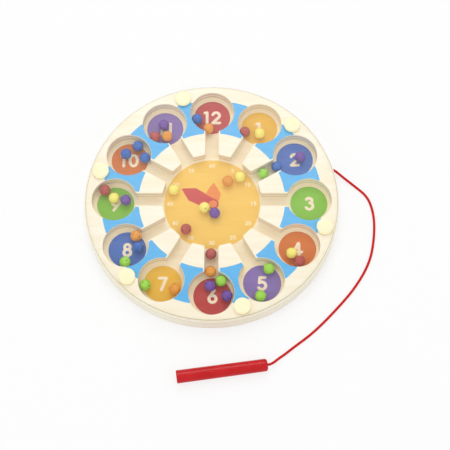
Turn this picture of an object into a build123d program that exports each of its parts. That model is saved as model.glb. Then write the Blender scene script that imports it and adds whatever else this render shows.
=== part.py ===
"""Wooden magnetic bead-maze clock board with its tethered wand, one STEP file per separate piece.

The frame: origin at the centre of the board's underside, +Z up through the board, +Y towards
12 o'clock, +X towards 3 o'clock. Lengths are in millimetres.
"""

import math
import os

from build123d import *

# The board, from the table up
BOARD_RADIUS = 150.0
BASE_THICKNESS = 12.0
PLATE_THICKNESS = 14.0
COVER_THICKNESS = 2.0
COVER_RADIUS = 148.2
RIM_ROUND = 3.0

FLOOR_Z = BASE_THICKNESS
PLATE_TOP_Z = FLOOR_Z + PLATE_THICKNESS
COVER_TOP_Z = PLATE_TOP_Z + COVER_THICKNESS

# The maze routed right through the plate
HOURS = 12
HOUR_ANGLE = 360.0 / HOURS
PIT_CIRCLE_RADIUS = 114.7
PIT_RADIUS = 26.5
CHANNEL_WIDTH = 16.0
WELL_APOTHEM = 58.2
WEDGE_TIP_ROUND = 2.5
MOUTH_ROUND = 1.5
ROUTED_EDGE_ROUND = 0.5

# The cover's screws, each in a cup under a snap-on cap
FIXINGS = 6
FIXING_CIRCLE_RADIUS = 136.3
FIRST_FIXING_ANGLE = 45.0
CAP_RADIUS = 9.5
CAP_HEIGHT = 3.4
CAP_ROUND = 1.4
CAP_ROOF = 1.2
CAP_INNER_RADIUS = 7.6
CUP_FLOOR = 0.8
CUP_WALL = 0.9
CUP_HEIGHT = 1.9
SNAP_FIT = 0.05
SCREW_HEAD_RADIUS = 3.4
SCREW_HEAD_HEIGHT = 1.2
SCREW_SHANK_RADIUS = 1.5
SCREW_LENGTH = 12.8
SCREW_TIP_LENGTH = 2.5
COVER_HOLE_RADIUS = 1.8
PILOT_HOLE_RADIUS = 1.55
PILOT_HOLE_DEPTH = 11.0

# Beads: a plastic ball moulded round a steel one, with the six holes that the mould's pins leave
BEAD_RADIUS = 6.5
CORE_RADIUS = 4.75
CORE_CLEARANCE = 0.05
PIN_HOLE_RADIUS = 0.7
PIN_HOLE_LEAN = 45.0
FIRST_PIN_HOLE_ANGLE = 30.0
FLOOR_CLEARANCE = 0.3
BEAD_Z = FLOOR_Z + FLOOR_CLEARANCE + BEAD_RADIUS

# Where the beads in the pits and channels rest: hour, then how far outward from the pit's centre
# and how far clockwise across it
BEADS_BY_HOUR = {
    "bead_12_blue": (12, -5.5, -18.5),
    "bead_12_orange": (12, -18.5, -4.5),
    "bead_11_purple": (11, 2.0, -0.5),
    "bead_11_red": (11, -6.5, -17.5),
    "bead_11_orange": (11, -13.0, -4.5),
    "bead_10_blue_a": (10, -1.0, 18.0),
    "bead_10_blue_b": (10, 6.0, 2.0),
    "bead_10_blue_c": (10, -16.5, 9.0),
    "bead_9_red": (9, 12.0, 14.5),
    "bead_9_yellow": (9, 1.0, 4.5),
    "bead_9_purple": (9, -13.0, 2.0),
    "bead_8_orange": (8, -16.5, 6.5),
    "bead_8_blue": (8, -12.5, -7.0),
    "bead_8_green": (8, 9.5, -15.5),
    "bead_7_green": (7, 13.0, 14.0),
    "bead_7_orange": (7, 0.0, -18.0),
    "bead_6_red": (6, -49.0, 0.5),
    "bead_6_orange": (6, -27.5, 1.0),
    "bead_6_green": (6, -16.0, -11.0),
    "bead_6_purple_a": (6, -10.0, 1.5),
    "bead_6_purple_b": (6, 2.0, -18.0),
    "bead_5_green_a": (5, -9.0, -15.5),
    "bead_5_green_b": (5, 14.5, 9.5),
    "bead_4_yellow": (4, -2.0, 9.5),
    "bead_4_red": (4, 11.0, 13.5),
    "bead_2_purple": (2, 6.0, 2.5),
    "bead_2_blue": (2, -25.0, -0.5),
    "bead_2_green": (2, -43.5, -0.5),
    "bead_1_red": (1, -15.5, -11.5),
    "bead_1_yellow": (1, -8.5, 5.0),
}

# Where the beads over the dial rest, as x and y
BEADS_ON_DIAL = {
    "bead_dial_yellow_a": (33.5, 32.0),
    "bead_dial_orange": (19.0, 26.5),
    "bead_dial_yellow_b": (-45.0, 15.0),
    "bead_dial_yellow_c": (-8.5, -7.5),
    "bead_dial_purple": (3.5, -14.5),
    "bead_dial_red": (-30.0, -35.0),
}

# How far each bead has rolled: spin about its own pole, the pole's lean, and the lean's bearing
ROLLED_HOLES_ASIDE = (75.0, 75.0, 135.0)
BEADS_ROLLED = {
    "bead_11_red": (90.0, 60.0, 270.0),
    "bead_9_red": (30.0, 75.0, 330.0),
    "bead_8_orange": (15.0, 15.0, 30.0),
    "bead_8_green": (0.0, 135.0, 255.0),
    "bead_7_green": (0.0, 150.0, 90.0),
    "bead_6_purple_b": (0.0, 45.0, 195.0),
    "bead_2_green": (90.0, 150.0, 75.0),
    "bead_1_red": (0.0, 135.0, 15.0),
    "bead_dial_yellow_c": (45.0, 105.0, 90.0),
    "bead_dial_red": (90.0, 60.0, 270.0),
}

# The wand, along its own axis from the magnet's end to the cord's end
WAND_RADIUS = 7.5
WAND_CORD_END_RADIUS = 7.2
WAND_LENGTH = 103.4
WAND_MAGNET_END = (-38.7, -208.3)
WAND_BEARING = 7.85
WAND_CLEAR_OF_TABLE = 0.01
WAND_CORD_END_ROUND = 3.0
WAND_CAP_THICKNESS = 2.0
WAND_CAP_ROUND = 0.6
WAND_CAP_SPIGOT = 4.0
WAND_BORE_RADIUS = 5.8
WAND_SHOULDER_RADIUS = 4.6
WAND_END_WALL = 3.0
WAND_CORD_HOLE_RADIUS = 1.8
MAGNET_LENGTH = 20.0
MAGNET_CHAMFER = 0.5
KNOT_RADIUS = 3.8
KNOT_THICKNESS = 5.0

# The cord and its blind hole in the board's side
CORD_RADIUS = 1.5
CORD_HOLE_BEARING = 70.5
CORD_HOLE_Z = 6.0
CORD_HOLE_RADIUS = 2.0
CORD_HOLE_DEPTH = 12.0
CORD_MOUTH_RADIUS = 3.2
CORD_MOUTH_DEPTH = 2.5
CORD_STRAIGHT_OUT = 2.0
CORD_ARC_SHARE = 0.45
CORD_END_ARC_SHARE = 0.9
WAND_CORD_GAP = 0.3
WAND_CORD_STRAIGHT_OUT = 2.6

# The cord's way over the table, from the board's side round to the wand
CORD_ROUTE = [
    (158.5, 38.0, 3.2),
    (171.5, 27.5, 1.55),
    (187.5, 13.0, 1.55),
    (193.5, -10.5, 1.55),
    (192.5, -38.0, 1.55),
    (186.0, -69.5, 1.55),
    (167.5, -101.0, 1.55),
    (144.5, -127.5, 1.55),
    (117.5, -155.0, 1.55),
    (92.5, -173.7, 1.55),
    (84.5, -180.2, 1.6),
    (76.5, -186.0, 3.1),
]


def bearing(degrees, radius):
    """The x and y of a point by its clock bearing: 0 at 12 o'clock, 90 at 3 o'clock."""
    turn = math.radians(degrees)
    return radius * math.sin(turn), radius * math.cos(turn)


def hour_place(hour, outward, clockwise):
    """The x and y of a point in an hour's pit, from the pit's centre."""
    out_x, out_y = bearing(hour * HOUR_ANGLE, 1.0)
    radius = PIT_CIRCLE_RADIUS + outward
    return radius * out_x + clockwise * out_y, radius * out_y - clockwise * out_x


def fixing_places():
    """The x and y of each of the cover's screws."""
    step = 360.0 / FIXINGS
    return [bearing(FIRST_FIXING_ANGLE + step * i, FIXING_CIRCLE_RADIUS) for i in range(FIXINGS)]


def drilled_at(places, radius, bottom, depth):
    """Upright cylinders to cut, one at each place."""
    hole = Cylinder(radius, depth, align=(Align.CENTER, Align.CENTER, Align.MIN))
    return [Pos(x, y, bottom) * hole for x, y in places]


def turned(profile):
    """A solid of revolution about Z from a closed outline given as radius and height."""
    outline = Polyline([(radius, 0, height) for radius, height in profile], close=True)
    return revolve(make_face(outline), Axis.Z)


def maze_plan():
    """Everything routed out of the plate: a twelve-sided well, its channels and their pits."""
    plan = Rot(0, 0, HOUR_ANGLE / 2) * RegularPolygon(
        WELL_APOTHEM, HOURS, major_radius=False, rotation=HOUR_ANGLE / 2
    )
    channel_inner = WELL_APOTHEM / 2
    channel_length = PIT_CIRCLE_RADIUS - channel_inner
    for hour in range(HOURS):
        pit = Pos(0, PIT_CIRCLE_RADIUS) * Circle(PIT_RADIUS)
        channel = Pos(0, channel_inner + channel_length / 2) * Rectangle(CHANNEL_WIDTH, channel_length)
        plan += Rot(0, 0, -HOUR_ANGLE * hour) * (pit + channel)
    return plan


def rounded_maze_plan():
    """The plan with the wedges' tips and the pits' mouths eased, as the router's template has them."""
    half = CHANNEL_WIDTH / 2
    mouth = math.hypot(half, PIT_CIRCLE_RADIUS - math.sqrt(PIT_RADIUS**2 - half**2))
    plan = maze_plan()

    def near(vertex, radius):
        return abs(math.hypot(vertex.X, vertex.Y) - radius) < 1.0

    plan = fillet([v for v in plan.vertices() if near(v, mouth)], MOUTH_ROUND)
    half_step = math.radians(HOUR_ANGLE / 2)
    tip = math.hypot(half, (WELL_APOTHEM - half * math.sin(half_step)) / math.cos(half_step))
    return fillet([v for v in plan.vertices() if near(v, tip)], WEDGE_TIP_ROUND)


def maze_plate():
    """The routed plywood plate. Its maze goes right through, and its edges are eased by hand."""
    plate = extrude(Circle(BOARD_RADIUS), PLATE_THICKNESS) - extrude(rounded_maze_plan(), PLATE_THICKNESS)
    rim = plate.edges().group_by(Axis.Z)[-1].sort_by(SortBy.LENGTH)[-1]
    plate = fillet(rim, RIM_ROUND)
    routed = [e for e in plate.edges().group_by(Axis.Z)[-1] if e.length < BOARD_RADIUS]
    plate = Pos(0, 0, FLOOR_Z) * fillet(routed, ROUTED_EDGE_ROUND)
    pilot_bottom = PLATE_TOP_Z - PILOT_HOLE_DEPTH
    return plate - drilled_at(fixing_places(), PILOT_HOLE_RADIUS, pilot_bottom, PILOT_HOLE_DEPTH)


def along_cord_hole(radius):
    """A point on the cord hole's axis, at a distance from the board's centre."""
    x, y = bearing(CORD_HOLE_BEARING, radius)
    return Vector(x, y, CORD_HOLE_Z)


def base_panel():
    """The plywood panel under the maze, drilled from its side for the cord."""
    panel = extrude(Circle(BOARD_RADIUS), BASE_THICKNESS)
    panel = fillet(panel.edges().group_by(Axis.Z)[0], RIM_ROUND)
    outward = along_cord_hole(1.0) - along_cord_hole(0.0)
    hole_bottom = Plane(origin=along_cord_hole(BOARD_RADIUS - CORD_HOLE_DEPTH), z_dir=outward)
    hole = hole_bottom * Cylinder(
        CORD_HOLE_RADIUS, CORD_HOLE_DEPTH + 1.0, align=(Align.CENTER, Align.CENTER, Align.MIN)
    )
    mouth_bottom = Plane(origin=along_cord_hole(BOARD_RADIUS - CORD_MOUTH_DEPTH), z_dir=outward)
    mouth = mouth_bottom * Cone(
        CORD_HOLE_RADIUS,
        CORD_MOUTH_RADIUS,
        CORD_MOUTH_DEPTH,
        align=(Align.CENTER, Align.CENTER, Align.MIN),
    )
    return panel - hole - mouth


def clear_cover():
    """The clear acrylic disc that keeps the beads in, held by six screws through its border."""
    cover = extrude(Circle(COVER_RADIUS), COVER_THICKNESS)
    cover = chamfer(cover.edges().group_by(Axis.Z)[-1], 0.3)
    cover = Pos(0, 0, PLATE_TOP_Z) * cover
    return cover - drilled_at(fixing_places(), COVER_HOLE_RADIUS, PLATE_TOP_Z, COVER_THICKNESS)


def cover_screws():
    """Six round-headed wood screws. Each head sits in its cup."""
    head_z = COVER_TOP_Z + CUP_FLOOR
    shoulder = SCREW_HEAD_RADIUS * 0.7
    screw = turned(
        [
            (0, head_z - SCREW_LENGTH),
            (SCREW_SHANK_RADIUS, head_z - SCREW_LENGTH + SCREW_TIP_LENGTH),
            (SCREW_SHANK_RADIUS, head_z),
            (SCREW_HEAD_RADIUS, head_z),
            (SCREW_HEAD_RADIUS, head_z + SCREW_HEAD_HEIGHT / 2),
            (shoulder, head_z + SCREW_HEAD_HEIGHT),
            (0, head_z + SCREW_HEAD_HEIGHT),
        ]
    )
    return Compound([Pos(x, y, 0) * screw for x, y in fixing_places()])


def cap_cups():
    """Six shallow plastic cups under the screws' heads, which the caps snap on to."""
    outer = CAP_INNER_RADIUS - SNAP_FIT
    cup = turned(
        [
            (SCREW_SHANK_RADIUS + 0.2, COVER_TOP_Z),
            (outer, COVER_TOP_Z),
            (outer, COVER_TOP_Z + CUP_HEIGHT),
            (outer - CUP_WALL, COVER_TOP_Z + CUP_HEIGHT),
            (outer - CUP_WALL, COVER_TOP_Z + CUP_FLOOR),
            (SCREW_SHANK_RADIUS + 0.2, COVER_TOP_Z + CUP_FLOOR),
        ]
    )
    return Compound([Pos(x, y, 0) * cup for x, y in fixing_places()])


def screw_cap():
    """One round cap, hollow underneath, standing on the cover."""
    cap = extrude(Circle(CAP_RADIUS), CAP_HEIGHT)
    cap = fillet(cap.edges().group_by(Axis.Z)[-1], CAP_ROUND)
    cap -= extrude(Circle(CAP_INNER_RADIUS), CAP_HEIGHT - CAP_ROOF)
    return Pos(0, 0, COVER_TOP_Z) * cap


def bead(x, y, rolled):
    """One bead: the plastic shell with its six pin holes, and the steel ball sealed inside it."""
    shell = Sphere(BEAD_RADIUS) - Sphere(CORE_RADIUS + CORE_CLEARANCE)
    pin = Pos(0, 0, CORE_RADIUS) * Cylinder(
        PIN_HOLE_RADIUS, BEAD_RADIUS, align=(Align.CENTER, Align.CENTER, Align.MIN)
    )
    for lean in (PIN_HOLE_LEAN, 180.0 - PIN_HOLE_LEAN):
        for step in range(3):
            around = FIRST_PIN_HOLE_ANGLE + 120.0 * step
            shell -= Rot(0, 0, around) * Rot(0, lean, 0) * pin
    spin, lean, lean_bearing = rolled
    place = Pos(x, y, BEAD_Z) * Rot(0, 0, lean_bearing) * Rot(0, lean, 0) * Rot(0, 0, spin)
    return Compound([place * shell, place * Sphere(CORE_RADIUS)])


def along_wand(distance):
    """A point on the wand's axis, from its magnet's end."""
    turn = math.radians(WAND_BEARING)
    x, y = WAND_MAGNET_END
    taper = (WAND_RADIUS - WAND_CORD_END_RADIUS) / WAND_LENGTH
    height = WAND_RADIUS + WAND_CLEAR_OF_TABLE - taper * distance
    return Vector(x + distance * math.cos(turn), y + distance * math.sin(turn), height)


def wand_piece(profile):
    """A turned piece of the wand, from an outline of radius and distance from the magnet's end."""
    lying = Plane(origin=along_wand(0.0), z_dir=along_wand(1.0) - along_wand(0.0))
    return lying * turned(profile)


def wand_barrel():
    """The wand's moulded tube, drawn in a little from the magnet's end to the rounded cord's end."""
    shoulder = WAND_CAP_THICKNESS + WAND_CAP_SPIGOT + MAGNET_LENGTH
    barrel = turned(
        [
            (WAND_BORE_RADIUS, WAND_CAP_THICKNESS),
            (WAND_RADIUS, WAND_CAP_THICKNESS),
            (WAND_CORD_END_RADIUS, WAND_LENGTH),
            (WAND_CORD_HOLE_RADIUS, WAND_LENGTH),
            (WAND_CORD_HOLE_RADIUS, WAND_LENGTH - WAND_END_WALL),
            (WAND_SHOULDER_RADIUS, WAND_LENGTH - WAND_END_WALL),
            (WAND_SHOULDER_RADIUS, shoulder),
            (WAND_BORE_RADIUS, shoulder),
        ]
    )
    rim = barrel.edges().filter_by(GeomType.CIRCLE).group_by(Axis.Z)[-1].sort_by(SortBy.RADIUS)[-1]
    barrel = fillet(rim, WAND_CORD_END_ROUND)
    lying = Plane(origin=along_wand(0.0), z_dir=along_wand(1.0) - along_wand(0.0))
    return lying * barrel


def wand_end_cap():
    """The flat cap that closes the magnet's end, on a spigot inside the bore."""
    spigot_radius = WAND_BORE_RADIUS - SNAP_FIT
    spigot_end = WAND_CAP_THICKNESS + WAND_CAP_SPIGOT
    return wand_piece(
        [
            (0, 0),
            (WAND_RADIUS - WAND_CAP_ROUND, 0),
            (WAND_RADIUS, WAND_CAP_ROUND),
            (WAND_RADIUS, WAND_CAP_THICKNESS),
            (spigot_radius, WAND_CAP_THICKNESS),
            (spigot_radius, spigot_end),
            (0, spigot_end),
        ]
    )


def wand_magnet():
    """The bar magnet, held between the cap's spigot and the barrel's shoulder."""
    radius = WAND_BORE_RADIUS - SNAP_FIT
    start = WAND_CAP_THICKNESS + WAND_CAP_SPIGOT
    end = start + MAGNET_LENGTH
    return wand_piece(
        [
            (0, start),
            (radius - MAGNET_CHAMFER, start),
            (radius, start + MAGNET_CHAMFER),
            (radius, end - MAGNET_CHAMFER),
            (radius - MAGNET_CHAMFER, end),
            (0, end),
        ]
    )


def wand_cord_knot():
    """The cord's tail in the wand: it fills the end hole and is knotted against the end wall."""
    wall = WAND_LENGTH - WAND_END_WALL
    return wand_piece(
        [
            (0, wall - KNOT_THICKNESS),
            (KNOT_RADIUS * 0.6, wall - KNOT_THICKNESS),
            (KNOT_RADIUS, wall - KNOT_THICKNESS * 0.65),
            (KNOT_RADIUS, wall - KNOT_THICKNESS * 0.3),
            (KNOT_RADIUS * 0.7, wall),
            (CORD_RADIUS, wall),
            (CORD_RADIUS, WAND_LENGTH),
            (0, WAND_LENGTH),
        ]
    )


def cord_points():
    """The corners of the cord's route, from the bottom of its hole to just short of the wand."""
    points = [
        along_cord_hole(BOARD_RADIUS - CORD_HOLE_DEPTH),
        along_cord_hole(BOARD_RADIUS + CORD_STRAIGHT_OUT),
    ]
    points += [Vector(*point) for point in CORD_ROUTE]
    end = along_wand(WAND_LENGTH + WAND_CORD_GAP)
    points += [along_wand(WAND_LENGTH + WAND_CORD_GAP + WAND_CORD_STRAIGHT_OUT), end]
    return points


def cord_radii(points):
    """The largest arc that each corner's two runs leave room for."""
    runs = [after - before for before, after in zip(points, points[1:])]
    rooms = [CORD_ARC_SHARE * run.length for run in runs]
    rooms[-1] = CORD_END_ARC_SHARE * runs[-1].length
    radii = []
    for number in range(len(runs) - 1):
        turn = runs[number].get_angle(runs[number + 1])
        room = min(rooms[number], rooms[number + 1])
        radii.append(room / math.tan(math.radians(turn / 2)))
    return radii


def cord():
    """The tether, as one round tube along straight runs and tangent arcs."""
    points = cord_points()
    radii = cord_radii(points)
    path = FilletPolyline(*points, radius=radii)
    section = Plane(origin=path @ 0, z_dir=path % 0) * Circle(CORD_RADIUS)
    tube = sweep(section, path=path)
    expected = math.pi * CORD_RADIUS**2 * path.length
    print("cord radii", [round(radius, 1) for radius in radii])
    print("cord length", round(path.length, 1), "volume", round(tube.volume, 1), "of", round(expected, 1))
    return tube


def write(name, shape):
    """Write one piece under its own name."""
    export_step(shape, f"parts/{name}.step")


os.makedirs("parts", exist_ok=True)

write("base_panel", base_panel())
write("maze_plate", maze_plate())
write("clear_cover", clear_cover())
write("cover_screws", cover_screws())
write("cap_cups", cap_cups())

cap = screw_cap()
for number, (cap_x, cap_y) in enumerate(fixing_places(), start=1):
    write(f"screw_cap_{number}", Pos(cap_x, cap_y, 0) * cap)

bead_places = {name: hour_place(*place) for name, place in BEADS_BY_HOUR.items()}
bead_places.update(BEADS_ON_DIAL)
for name, (bead_x, bead_y) in bead_places.items():
    write(name, bead(bead_x, bead_y, BEADS_ROLLED.get(name, ROLLED_HOLES_ASIDE)))

write("wand_barrel", wand_barrel())
write("wand_end_cap", wand_end_cap())
write("wand_magnet", wand_magnet())
write("wand_cord_knot", wand_cord_knot())
write("cord", cord())
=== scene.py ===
"""Wooden magnetic bead-maze clock board: routed plywood, a clear cover, coloured beads and a wand."""

import math

import bmesh
import bpy
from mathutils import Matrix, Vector, geometry


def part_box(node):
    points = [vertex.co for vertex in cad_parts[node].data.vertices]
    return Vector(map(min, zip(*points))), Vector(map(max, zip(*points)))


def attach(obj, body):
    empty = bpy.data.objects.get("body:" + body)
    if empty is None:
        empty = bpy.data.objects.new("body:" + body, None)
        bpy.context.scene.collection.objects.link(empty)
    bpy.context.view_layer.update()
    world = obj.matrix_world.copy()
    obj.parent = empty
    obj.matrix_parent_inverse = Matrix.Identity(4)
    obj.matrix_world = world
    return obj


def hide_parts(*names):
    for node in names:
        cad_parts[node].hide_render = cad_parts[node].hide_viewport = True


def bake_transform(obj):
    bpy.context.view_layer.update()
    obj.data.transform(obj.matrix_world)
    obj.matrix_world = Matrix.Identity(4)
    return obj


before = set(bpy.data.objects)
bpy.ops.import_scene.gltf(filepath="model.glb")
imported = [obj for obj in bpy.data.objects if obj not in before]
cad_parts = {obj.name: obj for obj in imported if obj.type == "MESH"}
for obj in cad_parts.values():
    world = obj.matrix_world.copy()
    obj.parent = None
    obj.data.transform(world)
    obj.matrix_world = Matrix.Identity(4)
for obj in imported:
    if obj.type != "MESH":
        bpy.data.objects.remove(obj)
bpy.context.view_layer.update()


# The camera looks down on the board from just beyond the wand, a little over a metre up, with a
# long lens and no tilt of the horizon to speak of.
camera_data = bpy.data.cameras.new("camera")
camera_data.lens = 85.648
camera_data.sensor_width = 36.0
camera = bpy.data.objects.new("camera", camera_data)
camera.location = (0.016668, -0.487897, 1.186818)
camera.rotation_euler = (math.radians(21.418), math.radians(0.036), math.radians(0.034))
bpy.context.scene.collection.objects.link(camera)
bpy.context.scene.camera = camera


# The tether is a thin braided polyester cord. It is glued into a blind hole in the board's side,
# drops to the table, and runs round in one loose sweep to the hole in the wand's rounded end.
CORD_RADIUS = 0.0015
CORD_ROUTE = [
    (0.1301, 0.0461, 0.0060),
    (0.1433, 0.0507, 0.0060),
    (0.1585, 0.0380, 0.0032),
    (0.1715, 0.0275, 0.00155),
    (0.1875, 0.0130, 0.00155),
    (0.1935, -0.0105, 0.00155),
    (0.1925, -0.0380, 0.00155),
    (0.1860, -0.0695, 0.00155),
    (0.1675, -0.1010, 0.00155),
    (0.1445, -0.1275, 0.00155),
    (0.1175, -0.1550, 0.00155),
    (0.0925, -0.1737, 0.00155),
    (0.0845, -0.1802, 0.0016),
    (0.0765, -0.1860, 0.0031),
    (0.06819, -0.19356, 0.00720),
    (0.06403, -0.19414, 0.00721),
]
CORD_SIDES = 14
BRAID_PITCH = 0.0045


class Value:
    """A value in a finish's node tree. Sums, differences and products of values add their Math nodes.
    """

    def __init__(self, tree, socket=None):
        self.tree = tree
        self.socket = socket

    def node(self, kind, settings=None, sockets=None, output=0):
        """Any node: its settings are made first, then its sockets take values or links."""
        made = self.tree.nodes.new(kind)
        for name, setting in (settings or {}).items():
            if name == "stops":
                while len(made.color_ramp.elements) < len(setting):
                    made.color_ramp.elements.new(1.0)
                for element, (position, colour) in zip(made.color_ramp.elements, setting):
                    element.position = position
                    element.color = (*colour, 1.0)
            elif name == "steps":
                made.color_ramp.interpolation = setting
            else:
                setattr(made, name, setting)
        for name, given in (sockets or {}).items():
            if isinstance(given, Value):
                self.tree.links.new(given.socket, made.inputs[name])
            else:
                made.inputs[name].default_value = given
        return None if output is None else Value(self.tree, made.outputs[output])

    def maths(self, operation, *others):
        return self.node("ShaderNodeMath", {"operation": operation}, dict(enumerate((self, *others))))

    def __add__(self, other):
        return self.maths("ADD", other)

    __radd__ = __add__

    def __sub__(self, other):
        return self.maths("SUBTRACT", other)

    def __rsub__(self, other):
        return self.node("ShaderNodeMath", {"operation": "SUBTRACT"}, {0: other, 1: self})

    def __mul__(self, other):
        return self.maths("MULTIPLY", other)

    __rmul__ = __mul__

    def step(self, low, high):
        """0 below low, 1 above high, and smooth between."""
        return self.node(
            "ShaderNodeMapRange",
            {"interpolation_type": "SMOOTHSTEP"},
            {"Value": self, "From Min": low, "From Max": high},
        )

    def place(self):
        """The point on the piece, in metres."""
        return self.node("ShaderNodeTexCoord", output="Object")

    def axis(self, letter):
        return self.node("ShaderNodeSeparateXYZ", sockets={"Vector": self}, output=letter)

    def noise(self, scale, detail=2.0, stretch=(1.0, 1.0, 1.0), turn=0.0):
        """Cloudy grain over the points, finer along the axes with a larger stretch."""
        turned = self.node(
            "ShaderNodeMapping",
            sockets={"Vector": self, "Rotation": (0.0, 0.0, turn), "Scale": stretch},
        )
        return self.node(
            "ShaderNodeTexNoise", sockets={"Vector": turned, "Scale": scale, "Detail": detail}
        )

    def blend(self, plain, marked):
        """A colour from plain to marked as this value goes from 0 to 1."""
        return self.node(
            "ShaderNodeMix",
            {"data_type": "RGBA"},
            {"Factor": self, "A": colour_of(plain), "B": colour_of(marked)},
            output="Result",
        )

    def bump(self, strength, distance):
        """A surface normal with this value as its height."""
        return self.node(
            "ShaderNodeBump", sockets={"Strength": strength, "Distance": distance, "Height": self}
        )


def colour_of(colour):
    """A colour as a node socket takes it: a link stays, and screen values of 0 to 255 become linear."""
    if isinstance(colour, Value):
        return colour
    linear = [c / 255 / 12.92 if c < 10.4 else ((c / 255 + 0.055) / 1.055) ** 2.4 for c in colour]
    return (*linear, 1.0)


def finish(name, recipe):
    """A material whose surface shader takes the values that a recipe gives for its sockets."""
    material = bpy.data.materials.new(name)
    material.use_nodes = True
    tree = material.node_tree
    shader = tree.nodes["Principled BSDF"]
    for socket, given in recipe(Value(tree)).items():
        if isinstance(given, Value):
            tree.links.new(given.socket, shader.inputs[socket])
        else:
            shader.inputs[socket].default_value = given
    return material


def braid(value):
    around = value.node("ShaderNodeTexCoord", output="UV")
    strand = around.axis("X") * (math.tau * 4)
    along = around.axis("Y") * (math.tau / BRAID_PITCH)
    weave = (strand + along).maths("SINE") * (strand - along).maths("SINE")
    return {
        # Painted shade: the braid is coloured darkest in its grooves, where the bump is lowest.
        "Base Color": weave.step(-0.9, 0.9).blend((182, 6, 8), (228, 30, 26)),
        "Roughness": 0.65,
        "Specular IOR Level": 0.2,
        "Sheen Weight": 0.05,
        "Normal": weave.bump(0.6, 0.0002),
    }


def centre_line(name, route):
    """Points along the smooth line that a route of control points gives."""
    curve = bpy.data.curves.new(name, "CURVE")
    curve.dimensions = "3D"
    curve.resolution_u = 24
    spline = curve.splines.new("NURBS")
    spline.points.add(len(route) - 1)
    for point, place in zip(spline.points, route):
        point.co = (*place, 1.0)
    spline.order_u = 3
    spline.use_endpoint_u = True
    line = bpy.data.objects.new(name, curve)
    bpy.context.scene.collection.objects.link(line)
    bpy.context.view_layer.update()
    mesh = bpy.data.meshes.new_from_object(line)
    points = [vertex.co.copy() for vertex in mesh.vertices]
    bpy.data.objects.remove(line)
    bpy.data.meshes.remove(mesh)
    return points


def tube(name, points, radius, sides, material):
    """A closed round tube along points, with a map that runs round it and along it in metres."""
    build = bmesh.new()
    uv_map = build.loops.layers.uv.new("braid")
    side = (points[1] - points[0]).cross(Vector((0, 0, 1))).normalized()
    rings = []
    lengths = [0.0]
    for i, point in enumerate(points):
        ahead = (points[min(i + 1, len(points) - 1)] - points[max(i - 1, 0)]).normalized()
        side = (side - ahead * side.dot(ahead)).normalized()
        up = ahead.cross(side)
        turns = [math.tau * j / sides for j in range(sides)]
        spokes = [side * math.cos(turn) + up * math.sin(turn) for turn in turns]
        rings.append([build.verts.new(point + radius * spoke) for spoke in spokes])
        if i:
            lengths.append(lengths[-1] + (point - points[i - 1]).length)
    for i in range(len(rings) - 1):
        for j in range(sides):
            k = (j + 1) % sides
            face = build.faces.new([rings[i][j], rings[i][k], rings[i + 1][k], rings[i + 1][j]])
            face.smooth = True
            corners = [(j, i), (j + 1, i), (j + 1, i + 1), (j, i + 1)]
            for loop, (across, ring) in zip(face.loops, corners):
                loop[uv_map].uv = (across / sides, lengths[ring])
    build.faces.new(list(reversed(rings[0])))
    build.faces.new(rings[-1])
    bmesh.ops.recalc_face_normals(build, faces=build.faces)
    mesh = bpy.data.meshes.new(name)
    build.to_mesh(mesh)
    build.free()
    mesh.materials.append(material)
    made = bpy.data.objects.new(name, mesh)
    bpy.context.scene.collection.objects.link(made)
    return made


braided_red = finish("braided_red_polyester", braid)
cord_line = centre_line("cord_line", CORD_ROUTE)
tether = tube("tether", cord_line, CORD_RADIUS, CORD_SIDES, braided_red)
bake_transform(tether)
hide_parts("cord")


# The wand is a moulded red plastic tube with a rounded end for the cord. A flat cap closes the
# other end over a bar magnet, and the cord is knotted inside the rounded one.
def smooth_copy(node, name, material, body, sharpest=32.0):
    """A shown copy of a solid with its faces joined and shaded as one skin between sharp edges."""
    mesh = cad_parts[node].data.copy()
    mesh.name = name
    build = bmesh.new()
    build.from_mesh(mesh)
    bmesh.ops.remove_doubles(build, verts=build.verts, dist=1e-7)
    for face in build.faces:
        face.smooth = True
    for edge in build.edges:
        edge.smooth = len(edge.link_faces) == 2 and edge.calc_face_angle() < math.radians(sharpest)
    build.to_mesh(mesh)
    build.free()
    mesh.materials.clear()
    mesh.materials.append(material)
    copy = bpy.data.objects.new(name, mesh)
    bpy.context.scene.collection.objects.link(copy)
    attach(copy, body)
    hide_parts(node)
    return copy


def moulded(shade, deep, roughness=0.3, grain=140.0, gloss=0.4, painted_side_glow=0.0):
    """The recipe of a glossy moulded plastic, with a faint flow in its colour and skin.

    A milky one lets light out at its sides; this is painted on as a warm glow of its sides, which the
    side glow sets.
    """

    def recipe(value):
        place = value.place()
        upward = value.node("ShaderNodeTexCoord", output="Normal").axis("Z")
        flow = place.noise(grain, 3.0)
        skin = place.noise(900.0, 2.0)
        return {
            "Base Color": flow.step(0.25, 0.75).blend(deep, shade),
            "Roughness": skin * 0.12 + (roughness - 0.06),
            "Specular IOR Level": gloss,
            # Painted glow: the sides, not the top, give off a warm light of their own.
            "Emission Color": upward.step(0.2, 0.9).blend((255, 226, 170), (0, 0, 0)),
            "Emission Strength": painted_side_glow,
            "Normal": skin.bump(0.08, 0.0002),
        }

    return recipe


wand_red = finish("wand_red_plastic", moulded((206, 26, 30), (196, 16, 24), 0.12, 60.0, gloss=0.22))
smooth_copy("wand_barrel", "wand_tube", wand_red, "wand")
smooth_copy("wand_end_cap", "wand_flat_cap", wand_red, "wand")


def assign(node, material):
    """Give a solid that is shown as it is a material of its own."""
    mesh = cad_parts[node].data
    mesh.materials.clear()
    mesh.materials.append(material)


def ground_ferrite(value):
    marks = value.place().noise(300.0, 4.0)
    return {
        "Base Color": marks.blend((58, 58, 62), (84, 84, 88)),
        "Roughness": marks * 0.3 + 0.3,
        "Metallic": 0.7,
    }


assign("wand_magnet", finish("ground_ferrite", ground_ferrite))
assign("wand_cord_knot", braided_red)


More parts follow.
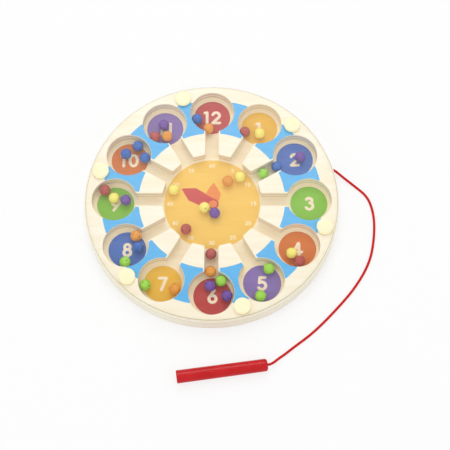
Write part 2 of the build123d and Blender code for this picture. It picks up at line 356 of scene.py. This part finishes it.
# The base panel is birch plywood. Twelve coloured discs with bare-wood numbers, the amber dial, its
# minute numbers and its two hands are printed on its top before the maze plate is glued over it.
MAZE_FLOOR = 0.012
PIT_CIRCLE = 0.1147
HOUR_DISC_RADIUS = 0.0221
DIAL_RADIUS = 0.0571
DIAL_MIDDLE = (0.0002, -0.0002)
HOUR_NUMBER_HEIGHT = 0.0178
MINUTE_NUMBER_HEIGHT = 0.0052
MINUTE_CIRCLE = 0.0495
INK_STEP = 0.00003
HOUR_SCREEN_SHIFT = (0.0006, -0.0005)
HOUR_SCREEN_TURN = math.radians(0.34)


def birch(bottom, top, plies, pale, deep):
    """The recipe of a sealed birch plywood panel: grain on its faces, plies on its routed edges."""

    def recipe(value):
        place = value.place()
        slope = value.node("ShaderNodeTexCoord", output="Normal").axis("Z").maths("ABSOLUTE")
        level = slope.step(0.55, 0.9)
        figure = place.noise(14.0, 4.0, (1.0, 9.0, 1.0))
        fibre = place.noise(160.0, 3.0, (0.12, 2.0, 1.0))
        veneer = (figure * 0.7 + fibre * 0.3).step(0.3, 0.75).blend(pale, deep)
        depth = (place.axis("Z") - bottom) * (plies * math.pi / (top - bottom))
        layer = depth.maths("SINE").step(-0.5, 0.5)
        crumbs = place.noise(420.0, 3.0, (1.0, 1.0, 2.5))
        cut = (layer * 0.75 + crumbs * 0.35).step(0.15, 0.9)
        out = (place.axis("X") * place.axis("X") + place.axis("Y") * place.axis("Y")).maths("SQRT")
        routed = cut.blend((216, 202, 174), (252, 242, 218))
        # Painted highlight: on the board's outer side, the eased top edge is coloured palest, as it
        # catches the lamps.
        eased_edge_highlight = slope.step(0.05, 0.45)
        outer_edge_with_highlight = cut.maths("MAXIMUM", eased_edge_highlight).blend((242, 232, 208), (255, 252, 234))
        edge = out.step(0.144, 0.146).blend(routed, outer_edge_with_highlight)
        return {
            "Base Color": level.blend(edge, veneer),
            "Roughness": 0.55 - fibre * 0.12,
            "Specular IOR Level": 0.25,
            "Normal": (fibre * level + crumbs * (1 - level)).bump(0.12, 0.0003),
        }

    return recipe


def ink(shade, deep):
    """The recipe of a screen-printed ink, thin enough for the wood's grain to tint it."""

    def recipe(value):
        place = value.place()
        figure = place.noise(60.0, 4.0, (0.5, 4.0, 1.0))
        return {
            "Base Color": figure.step(0.25, 0.8).blend(shade, deep),
            "Roughness": 0.48,
            "Specular IOR Level": 0.2,
            "Normal": place.noise(700.0).bump(0.05, 0.0002),
        }

    return recipe


def flat_print(name, outlines, height, material):
    """A print as one sheet of faces: outlines may overlap, and their union is filled."""
    points = []
    faces = []
    for outline in outlines:
        corners = [Vector(point) for point in outline]
        turning = sum(a.x * b.y - b.x * a.y for a, b in zip(corners, corners[1:] + corners[:1]))
        if turning < 0:
            corners.reverse()
        faces.append(list(range(len(points), len(points) + len(corners))))
        points += corners
    places, _, corners, _, _, sources = geometry.delaunay_2d_cdt(points, [], faces, 1, 1e-7)
    filled = [corner for corner, source in zip(corners, sources) if source]
    mesh = bpy.data.meshes.new(name)
    mesh.from_pydata([(x, y, height) for x, y in places], [], filled)
    build = bmesh.new()
    build.from_mesh(mesh)
    bmesh.ops.delete(build, geom=[v for v in build.verts if not v.link_faces], context="VERTS")
    for face in build.faces:
        if face.normal.z < 0:
            face.normal_flip()
    build.to_mesh(mesh)
    build.free()
    mesh.materials.append(material)
    made = bpy.data.objects.new(name, mesh)
    bpy.context.scene.collection.objects.link(made)
    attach(made, "board")
    return made


def arc(x, y, across, up, start, stop):
    """Points on an ellipse, from one angle to another in degrees."""
    steps = max(3, round(abs(stop - start) / 12))
    angles = [math.radians(start + (stop - start) * i / steps) for i in range(steps + 1)]
    return [(x + across * math.cos(a), y + up * math.sin(a)) for a in angles]


# Each digit's strokes, in parts of its height, with the middle of the digit at 0
DIGITS = {
    "0": [arc(0, 0, 0.25, 0.4, 0, 190), arc(0, 0, 0.25, 0.4, 180, 370)],
    "1": [[(-0.15, 0.37), (0.0, 0.4)], [(0.0, 0.4), (0.0, -0.4)]],
    "2": [arc(0, 0.17, 0.23, 0.23, 165, -38) + [(-0.22, -0.39)], [(-0.23, -0.4), (0.25, -0.4)]],
    "3": [arc(-0.02, 0.21, 0.2, 0.19, 150, -75), arc(-0.02, -0.16, 0.24, 0.24, 80, -150)],
    "4": [[(0.07, 0.4), (-0.26, -0.2)], [(-0.26, -0.2), (0.28, -0.2)], [(0.1, 0.38), (0.1, -0.4)]],
    "5": [
        [(0.19, 0.4), (-0.14, 0.4)],
        [(-0.14, 0.4), (-0.18, 0.06)],
        arc(-0.02, -0.15, 0.25, 0.25, 130, -145),
    ],
    "6": [
        arc(0, -0.17, 0.23, 0.23, 0, 190),
        arc(0, -0.17, 0.23, 0.23, 180, 370),
        [(-0.19, -0.05), (0.12, 0.4)],
    ],
    "7": [[(-0.23, 0.4), (0.23, 0.4)], [(0.23, 0.4), (-0.08, -0.4)]],
    "8": [
        arc(0, 0.21, 0.18, 0.18, 0, 190),
        arc(0, 0.21, 0.18, 0.18, 180, 370),
        arc(0, -0.18, 0.22, 0.22, 0, 190),
        arc(0, -0.18, 0.22, 0.22, 180, 370),
    ],
    "9": [
        arc(0, 0.17, 0.23, 0.23, 0, 190),
        arc(0, 0.17, 0.23, 0.23, 180, 370),
        [(0.19, 0.05), (-0.12, -0.4)],
    ],
}


# Where the digits of an hour number stand off their even spacing, in parts of their height
NUMBER_NUDGES = {"3": (0.035,), "10": (-0.1, -0.06), "11": (0.09, 0.045), "12": (-0.045, -0.045)}


def stroke_outline(points, width):
    """The outline of one round-ended stroke."""
    points = [Vector(point) for point in points]
    ahead = [(b - a).normalized() for a, b in zip(points, points[1:])]
    ahead = [ahead[0]] + [(a + b).normalized() for a, b in zip(ahead, ahead[1:])] + [ahead[-1]]
    left = [point + Vector((-way.y, way.x)) * width for point, way in zip(points, ahead)]
    right = [point + Vector((way.y, -way.x)) * width for point, way in zip(points, ahead)]
    heading = math.degrees(math.atan2(ahead[-1].y, ahead[-1].x))
    end = arc(*points[-1], width, width, heading + 90, heading - 90)[1:-1]
    heading = math.degrees(math.atan2(ahead[0].y, ahead[0].x))
    start = arc(*points[0], width, width, heading - 90, heading - 270)[1:-1]
    return left + end + list(reversed(right)) + start


def number_outlines(text, x, y, height, stroke, spacing):
    """The outlines of a number's strokes, with the number's middle at a point."""
    outlines = []
    for place, digit in enumerate(text):
        middle = (place - (len(text) - 1) / 2) * spacing
        middle += NUMBER_NUDGES.get(text, (0.0, 0.0))[place]
        for stroke_points in DIGITS[digit]:
            moved = [(x + (middle + px) * height, y + py * height) for px, py in stroke_points]
            outlines.append(stroke_outline(moved, stroke * height / 2))
    return outlines


def bearing(degrees, radius):
    """The point at a clock bearing: 0 at 12 o'clock, 90 at 3 o'clock."""
    turn = math.radians(degrees)
    return radius * math.sin(turn), radius * math.cos(turn)


def round_outline(x, y, radius, points):
    """The outline of a disc."""
    return arc(x, y, radius, radius, 0, 360 * (points - 1) / points)


def repeat_round(piece, count, first, material):
    """Repeat a flat piece round the board's centre, and keep the result as a plain mesh."""
    tree = bpy.data.node_groups.new("repeated_round_the_clock", "GeometryNodeTree")
    for name, kind in (
        ("Piece", "NodeSocketGeometry"),
        ("Count", "NodeSocketInt"),
        ("First Bearing", "NodeSocketFloat"),
        ("Step", "NodeSocketFloat"),
        ("Finish", "NodeSocketMaterial"),
    ):
        tree.interface.new_socket(name, in_out="INPUT", socket_type=kind)
    tree.interface.new_socket("Print", in_out="OUTPUT", socket_type="NodeSocketGeometry")
    given = tree.nodes.new("NodeGroupInput").outputs
    points = tree.nodes.new("GeometryNodePoints")
    index = tree.nodes.new("GeometryNodeInputIndex")
    turn = tree.nodes.new("ShaderNodeMath")
    turn.operation = "MULTIPLY_ADD"
    rotation = tree.nodes.new("ShaderNodeCombineXYZ")
    placed = tree.nodes.new("GeometryNodeInstanceOnPoints")
    real = tree.nodes.new("GeometryNodeRealizeInstances")
    finished = tree.nodes.new("GeometryNodeSetMaterial")
    result = tree.nodes.new("NodeGroupOutput")
    for source, target in (
        (given["Count"], points.inputs["Count"]),
        (index.outputs[0], turn.inputs[0]),
        (given["Step"], turn.inputs[1]),
        (given["First Bearing"], turn.inputs[2]),
        (turn.outputs[0], rotation.inputs["Z"]),
        (points.outputs[0], placed.inputs["Points"]),
        (given["Piece"], placed.inputs["Instance"]),
        (rotation.outputs[0], placed.inputs["Rotation"]),
        (placed.outputs[0], real.inputs[0]),
        (real.outputs[0], finished.inputs["Geometry"]),
        (given["Finish"], finished.inputs["Material"]),
        (finished.outputs[0], result.inputs[0]),
    ):
        tree.links.new(source, target)
    modifier = piece.modifiers.new("repeated", "NODES")
    modifier.node_group = tree
    values = {
        "Count": count,
        "First Bearing": math.radians(-first),
        "Step": -math.tau / count,
        "Finish": material,
    }
    for item in tree.interface.items_tree:
        if item.name in values:
            modifier[item.identifier] = values[item.name]
    bpy.context.view_layer.update()
    ready = piece.evaluated_get(bpy.context.evaluated_depsgraph_get())
    mesh = bpy.data.meshes.new_from_object(ready)
    piece.modifiers.clear()
    piece.data = mesh
    return piece


def flat_piece(name, outline, height):
    """One filled outline at a height, as the piece that is repeated."""
    mesh = bpy.data.meshes.new(name)
    mesh.from_pydata([(x, y, height) for x, y in outline], [], [list(range(len(outline)))])
    made = bpy.data.objects.new(name, mesh)
    bpy.context.scene.collection.objects.link(made)
    return made


def from_the_hour_screen(printed):
    """Move a print as the hours' screen lay on the panel, a little to one side and turned."""
    for vertex in printed.data.vertices:
        x, y = vertex.co.x, vertex.co.y
        vertex.co.x = x - HOUR_SCREEN_TURN * y + HOUR_SCREEN_SHIFT[0]
        vertex.co.y = y + HOUR_SCREEN_TURN * x + HOUR_SCREEN_SHIFT[1]


HOUR_COLOURS = [
    (190, 54, 50),
    (235, 182, 40),
    (70, 108, 188),
    (129, 190, 36),
    (214, 112, 14),
    (136, 109, 178),
]


def hour_inks(value):
    """The six printed colours, twice round the clock, by the bearing of the point."""
    place = value.place()
    clockwise = place.axis("X").maths("ARCTAN2", place.axis("Y"))
    turns = (clockwise * (1 / math.tau) + (1.0 + 1 / 24)).maths("FRACT")
    stops = [(hour / 12, colour_of(HOUR_COLOURS[hour % 6])[:3]) for hour in range(12)]
    colour = turns.node("ShaderNodeValToRGB", {"stops": stops, "steps": "CONSTANT"}, {"Fac": turns})
    figure = place.noise(60.0, 4.0, (0.5, 4.0, 1.0)).step(0.25, 0.8)
    tinted = (figure * 0.04).blend(colour, (255, 255, 255))
    return {
        "Base Color": tinted,
        "Roughness": 0.5,
        "Specular IOR Level": 0.2,
        "Normal": place.noise(700.0).bump(0.05, 0.0002),
    }


base_wood = finish("base_birch", birch(0.0, MAZE_FLOOR, 5, (252, 237, 205), (246, 227, 190)))
smooth_copy("base_panel", "printed_base", base_wood, "board")

disc = flat_piece(
    "hour_discs", round_outline(0, PIT_CIRCLE, HOUR_DISC_RADIUS, 96), MAZE_FLOOR + INK_STEP
)
repeat_round(disc, 12, 0.0, finish("hour_inks", hour_inks))
from_the_hour_screen(disc)
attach(disc, "board")

bare_wood = finish("bare_number_wood", ink((250, 232, 204), (240, 218, 186)))
hour_numbers = []
for hour in range(1, 13):
    x, y = bearing(30 * hour, PIT_CIRCLE)
    hour_numbers += number_outlines(str(hour), x, y, HOUR_NUMBER_HEIGHT, 0.2, 0.62)
numbers = flat_print(
    "hour_numbers", hour_numbers, MAZE_FLOOR + 2 * INK_STEP, bare_wood
)
from_the_hour_screen(numbers)

amber = finish("dial_amber_ink", ink((246, 201, 92), (242, 194, 80)))
dial = round_outline(*DIAL_MIDDLE, DIAL_RADIUS, 180)
flat_print("dial", [dial], MAZE_FLOOR + INK_STEP, amber)

pale = finish("minute_number_wood", ink((255, 240, 204), (254, 234, 192)))
minutes = []
for mark in range(1, 13):
    x, y = bearing(30 * mark, MINUTE_CIRCLE)
    minutes += number_outlines(str(5 * mark), x, y, MINUTE_NUMBER_HEIGHT, 0.17, 0.72)
flat_print("minute_numbers", minutes, MAZE_FLOOR + 2 * INK_STEP, pale)

orange_ink = finish("hour_hand_ink", ink((240, 142, 68), (232, 130, 58)))
red_ink = finish("minute_hand_ink", ink((210, 78, 72), (200, 68, 64)))
hour_hand = [(2.2, 27.3), (6.8, 20.5), (10.8, 12.2), (8.4, 4.0), (0.0, 0.0), (-6.8, 14.2), (-2.6, 21.4)]
minute_hand = [
    (-36.0, 19.0),
    (-34.5, 19.9),
    (-19.2, 20.2),
    (-8.0, 13.4),
    (1.4, 6.8),
    (-3.0, -5.0),
    (-15.5, -1.6),
    (-27.8, 4.2),
]
hour_hand = [(x / 1000, y / 1000) for x, y in hour_hand]
minute_hand = [(x / 1000, y / 1000) for x, y in minute_hand]
hub_x, hub_y = 0.0014, -0.0003
HUB_RADIUS = 0.0068
HUB_SPOT_RADIUS = 0.0047
flat_print("hour_hand", [hour_hand], MAZE_FLOOR + 2 * INK_STEP, orange_ink)
minute_outlines = [minute_hand, round_outline(hub_x, hub_y, HUB_RADIUS, 48)]
flat_print("minute_hand", minute_outlines, MAZE_FLOOR + 3 * INK_STEP, red_ink)
hub = round_outline(hub_x, hub_y, HUB_SPOT_RADIUS, 40)
flat_print("hub_spot", [hub], MAZE_FLOOR + 4 * INK_STEP, orange_ink)


# The maze plate is a second sheet of birch plywood, routed right through along a template, with its
# top edges eased. A sky-blue ring is printed between the pits before routing.
PLATE_TOP = 0.026
PIT_RADIUS = 0.0265
RING_INNER = 0.0860
RING_OUTER = 0.1300
RING_PIT_MARGIN = 0.0002
RING_CHANNEL_MARGIN = 0.0015
CHANNEL_HALF_WIDTH = 0.008
RING_SHIFT = 0.0002
RING_CORNER = 0.0014


def eased(corners, radius):
    """An outline with each turn sharper than 25 degrees rounded off."""
    points = []
    for i, corner in enumerate(corners):
        here = Vector(corner)
        back = Vector(corners[i - 1]) - here
        forth = Vector(corners[(i + 1) % len(corners)]) - here
        turn = math.pi - back.angle(forth)
        if turn < math.radians(25):
            points.append(here)
            continue
        reach = min(radius * math.tan(turn / 2), back.length * 0.9, forth.length * 0.9)
        start = here + back.normalized() * reach
        end = here + forth.normalized() * reach
        for step in range(7):
            t = step / 6
            points.append(start * (1 - t) ** 2 + here * 2 * t * (1 - t) + end * t**2)
    return points


def ring_segment():
    """The print between two pits, about 12 o'clock: it narrows between them to a neck."""
    pit_angle = math.radians(15)
    pit = Vector((PIT_CIRCLE * math.sin(pit_angle), PIT_CIRCLE * math.cos(pit_angle)))
    clear = PIT_RADIUS + RING_PIT_MARGIN
    side_way = Vector((math.sin(pit_angle), math.cos(pit_angle)))
    across = Vector((-side_way.y, side_way.x))
    channel = CHANNEL_HALF_WIDTH + RING_CHANNEL_MARGIN
    mouth = pit - side_way * math.sqrt(clear**2 - channel**2) + across * channel
    along = math.sqrt(RING_INNER**2 - channel**2)
    low = side_way * along + across * channel
    spread = math.acos((RING_OUTER**2 + PIT_CIRCLE**2 - clear**2) / (2 * RING_OUTER * PIT_CIRCLE))
    top = Vector((math.sin(pit_angle - spread), math.cos(pit_angle - spread))) * RING_OUTER
    start = math.atan2(top.y - pit.y, top.x - pit.x)
    stop = math.atan2(mouth.y - pit.y, mouth.x - pit.x)
    if stop < start:
        stop += math.tau
    neck = arc(pit.x, pit.y, clear, clear, math.degrees(start), math.degrees(stop))
    outer_half = math.atan2(top.x, top.y)
    inner_half = math.atan2(low.x, low.y)
    outer = [bearing(math.degrees(outer_half) * t / 4, RING_OUTER) for t in range(-3, 4)]
    inner = [bearing(math.degrees(inner_half) * t / 8, RING_INNER) for t in range(7, -8, -1)]
    left = [(-x, y) for x, y in reversed(neck)]
    return outer + neck + [tuple(low)] + inner + [(-low.x, low.y)] + left


plate_wood = finish("maze_birch", birch(MAZE_FLOOR, PLATE_TOP, 5, (254, 246, 225), (249, 236, 206)))
smooth_copy("maze_plate", "routed_maze", plate_wood, "board")
sky_blue = finish("sky_blue_ink", ink((95, 184, 237), (87, 176, 231)))
ring = flat_piece("blue_ring", eased(ring_segment(), RING_CORNER), PLATE_TOP + INK_STEP)
repeat_round(ring, 12, 15.0, sky_blue)
for vertex in ring.data.vertices:
    vertex.co.x += RING_SHIFT
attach(ring, "board")


# The cover is a disc of clear acrylic with a polished edge, laid on the plate and held down by six
# screws through its border. Only its edge shows, as a thin olive line: the acrylic's own colour with
# painted shade of the gap at its edge, painted palest at the back and left where the lamp behind the
# board lights it, and darkest at the front and right. Its top mirrors that lamp as a pale veil.
COVER_BORDER = (0.1472, 0.1478)
BORDER_TINT_AND_SHADE = 0.35
VEIL = 0.3


def acrylic(value):
    place = value.place()
    facing_up = value.node("ShaderNodeTexCoord", output="Normal").axis("Z")
    rim = 1 - facing_up.maths("ABSOLUTE").step(0.3, 0.9)
    out = (place.axis("X") * place.axis("X") + place.axis("Y") * place.axis("Y")).maths("SQRT")
    # The band just inside the cover's edge is a painted dark line, partly the edge's own olive colour
    # and partly painted shade of the gap there.
    border = rim.maths("MAXIMUM", out.step(*COVER_BORDER) * BORDER_TINT_AND_SHADE)
    mirrored = value.node("ShaderNodeFresnel", sockets={"IOR": 1.49}) * facing_up.step(0.3, 0.9)
    scuffs = place.noise(220.0, 5.0, (1.0, 0.25, 1.0), 0.6)
    return {
        "Base Color": border.step(0.0, 0.3).blend((250, 252, 250), (150, 142, 92)),
        "Roughness": scuffs.step(0.35, 0.8) * 0.06 + 0.16,
        "Metallic": 1 - border.step(0.0, 0.3),
        # The line's strength is painted by place: stronger to the front and right as painted shade,
        # fainter to the back and left as painted light from the lamp behind.
        "Alpha": border * (0.33 - place.axis("Y") + place.axis("X") * 0.35) + mirrored * VEIL,
    }


clear_acrylic = finish("clear_acrylic", acrylic)
cover = smooth_copy("clear_cover", "acrylic_cover", clear_acrylic, "board")
for vertex in cover.data.vertices:
    vertex.co.z = max(vertex.co.z, PLATE_TOP + 3 * INK_STEP)


# Six screws hold the cover. Each stands in a shallow cup that its round cap snaps over, so that
# no screw head shows and a child can't get at it.
def zinc(value):
    marks = value.place().noise(500.0, 3.0)
    return {
        "Base Color": marks.blend((150, 152, 156), (188, 190, 192)),
        "Roughness": marks * 0.2 + 0.25,
        "Metallic": 1.0,
    }


assign("cover_screws", finish("zinc_plated_steel", zinc))
assign("cap_cups", finish("cup_plastic", moulded((240, 236, 204), (230, 226, 192), 0.4)))
# The caps are given a painted warm glow on their sides.
cream = moulded((255, 252, 213), (253, 248, 203), 0.35, 90.0, painted_side_glow=0.25)
cap_plastic = finish("cap_cream_plastic", cream)
for number in range(1, 7):
    smooth_copy(f"screw_cap_{number}", f"cap_{number}", cap_plastic, "board")


# The beads are steel balls with a coloured plastic skin moulded round them. The pins that hold
# the steel in the mould leave six small holes in each, with the steel at the bottom. The holes are
# dark by painted shade: their walls are coloured near black, and the steel is coloured darker than
# bare steel.
BEAD_SHADES = {
    "red": ((186, 74, 62), (172, 63, 52)),
    "orange": ((235, 155, 36), (227, 144, 30)),
    "yellow": ((252, 238, 116), (246, 230, 102)),
    "green": ((159, 219, 64), (147, 209, 46)),
    "blue": ((33, 99, 186), (27, 88, 174)),
    "purple": ((110, 66, 163), (100, 55, 151)),
}
BEAD_CORE_REACH = 0.0052
PIN_HOLE_REACH = 0.0062


# Painted shade: the steel is coloured far darker than bare steel, as it is seen only at the bottoms of
# the pin holes.
def ball_steel(value):
    marks = value.place().noise(600.0, 3.0)
    return {
        "Base Color": marks.blend((46, 42, 40), (66, 60, 56)),
        "Roughness": marks * 0.2 + 0.3,
        "Metallic": 0.6,
    }


# Painted shade: the walls of the pin holes are coloured near black, for the little light that gets into
# them.
def grimy(value):
    return {
        "Base Color": value.place().noise(800.0).blend((30, 26, 24), (52, 44, 38)),
        "Roughness": 0.8,
        "Specular IOR Level": 0.1,
    }


core_steel = finish("bead_core_steel", ball_steel)
pin_hole = finish("bead_pin_hole_painted_shade", grimy)
bead_plastic = {}
for colour, (shade, deep) in BEAD_SHADES.items():
    bead_plastic[colour] = finish(f"bead_{colour}_plastic", moulded(shade, deep, 0.16, 120.0))
for node in sorted(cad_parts):
    if node.startswith("bead_"):
        colour = next(name for name in bead_plastic if name in node.split("_"))
        ball = smooth_copy(node, f"shown_{node}", bead_plastic[colour], node)
        low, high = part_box(node)
        middle = (Vector(low) + Vector(high)) / 2
        ball.data.materials.append(core_steel)
        ball.data.materials.append(pin_hole)
        # Faces within the pin holes take the painted shade on their walls and the darkened steel at
        # their bottoms.
        for face in ball.data.polygons:
            reach = (face.center - middle).length
            if reach < PIN_HOLE_REACH:
                face.material_index = 1 if reach < BEAD_CORE_REACH else 2


# The table is a plain white sweep. A camera, a polished surface or a clear one sees it nearly
# white, and it still takes the object's soft shadow.
def seen_directly(value):
    """1 on the rays that show a background: to the camera, by gloss or through glass."""
    kinds = ("Camera", "Glossy", "Transmission")
    rays = [value.node("ShaderNodeLightPath", output=f"Is {kind} Ray") for kind in kinds]
    return rays[0].maths("MAXIMUM", rays[1]).maths("MAXIMUM", rays[2])


TABLE_HALF_WIDTH = 4.0
TABLE_DROP = -0.0003
# How much of the table is plain white: least close under the board's edge, so that a ring of painted
# shadow there deepens the board's own shadow, more on the table round it, and nearly all far away,
# where the table meets the sky
TABLE_GLOW = 0.56
OPEN_TABLE_GLOW = 0.2
FAR_TABLE_GLOW = 0.2
PAINTED_SHADOW_REACH = (0.147, 0.162)
FAR_TABLE_REACH = (0.8, 2.5)
table_corners = [(-1, -1), (1, -1), (1, 1), (-1, 1)]
floor_mesh = bpy.data.meshes.new("floor")
table_points = [(x * TABLE_HALF_WIDTH, y * TABLE_HALF_WIDTH, TABLE_DROP) for x, y in table_corners]
floor_mesh.from_pydata(table_points, [], [(0, 1, 2, 3)])
floor = bpy.data.objects.new("floor", floor_mesh)
bpy.context.scene.collection.objects.link(floor)
table = bpy.data.materials.new("white_table")
table.use_nodes = True
table.node_tree.nodes.clear()
on_table = Value(table.node_tree)
matt = on_table.node("ShaderNodeBsdfDiffuse", sockets={"Color": (0.97, 0.97, 0.97, 1.0)})
glow = on_table.node("ShaderNodeEmission", sockets={"Color": (1.0, 1.0, 1.0, 1.0), "Strength": 1.0})
spot = on_table.place()
out = (spot.axis("X") * spot.axis("X") + spot.axis("Y") * spot.axis("Y")).maths("SQRT")
# Less white close round the board's edge: a painted ring of shadow.
share = out.step(*PAINTED_SHADOW_REACH) * OPEN_TABLE_GLOW + out.step(*FAR_TABLE_REACH) * FAR_TABLE_GLOW
share = seen_directly(on_table) * (share + TABLE_GLOW)
mixed = on_table.node("ShaderNodeMixShader", sockets={0: share, 1: matt, 2: glow})
on_table.node("ShaderNodeOutputMaterial", sockets={"Surface": mixed}, output=None)
floor_mesh.materials.append(table)


# The light is one broad soft lamp high behind the board, a narrow strip over the wand, two windows
# low at its sides, and an even pale sky all round.
def soft_light(name, place, width, height, power):
    """A rectangular lamp that faces the middle of the board."""
    lamp = bpy.data.lights.new(name, "AREA")
    lamp.shape = "RECTANGLE"
    lamp.size = width
    lamp.size_y = height
    lamp.energy = power
    held = bpy.data.objects.new(name, lamp)
    held.location = place
    held.rotation_euler = (-Vector(place)).to_track_quat("-Z", "Y").to_euler()
    bpy.context.scene.collection.objects.link(held)


soft_light("overhead", (-0.03, 1.1, 1.7), 0.8, 1.05, 7.4)
soft_light("strip_above", (0.0, -0.12, 1.5), 1.2, 0.02, 0.8)
soft_light("left_window", (-1.1, -0.85, 1.2), 1.4, 0.9, 2.4)
soft_light("right_window", (1.1, -0.85, 1.2), 1.4, 0.9, 1.8)

SKY_LIGHT = 0.74
world = bpy.data.worlds.new("pale_sky")
bpy.context.scene.world = world
world.use_nodes = True
sky = Value(world.node_tree)
strength = seen_directly(sky) * (1.0 - SKY_LIGHT) + SKY_LIGHT
background = world.node_tree.nodes["Background"]
background.inputs["Color"].default_value = (1.0, 1.0, 1.0, 1.0)
world.node_tree.links.new(strength.socket, background.inputs["Strength"])

bpy.context.scene.view_settings.view_transform = "Standard"
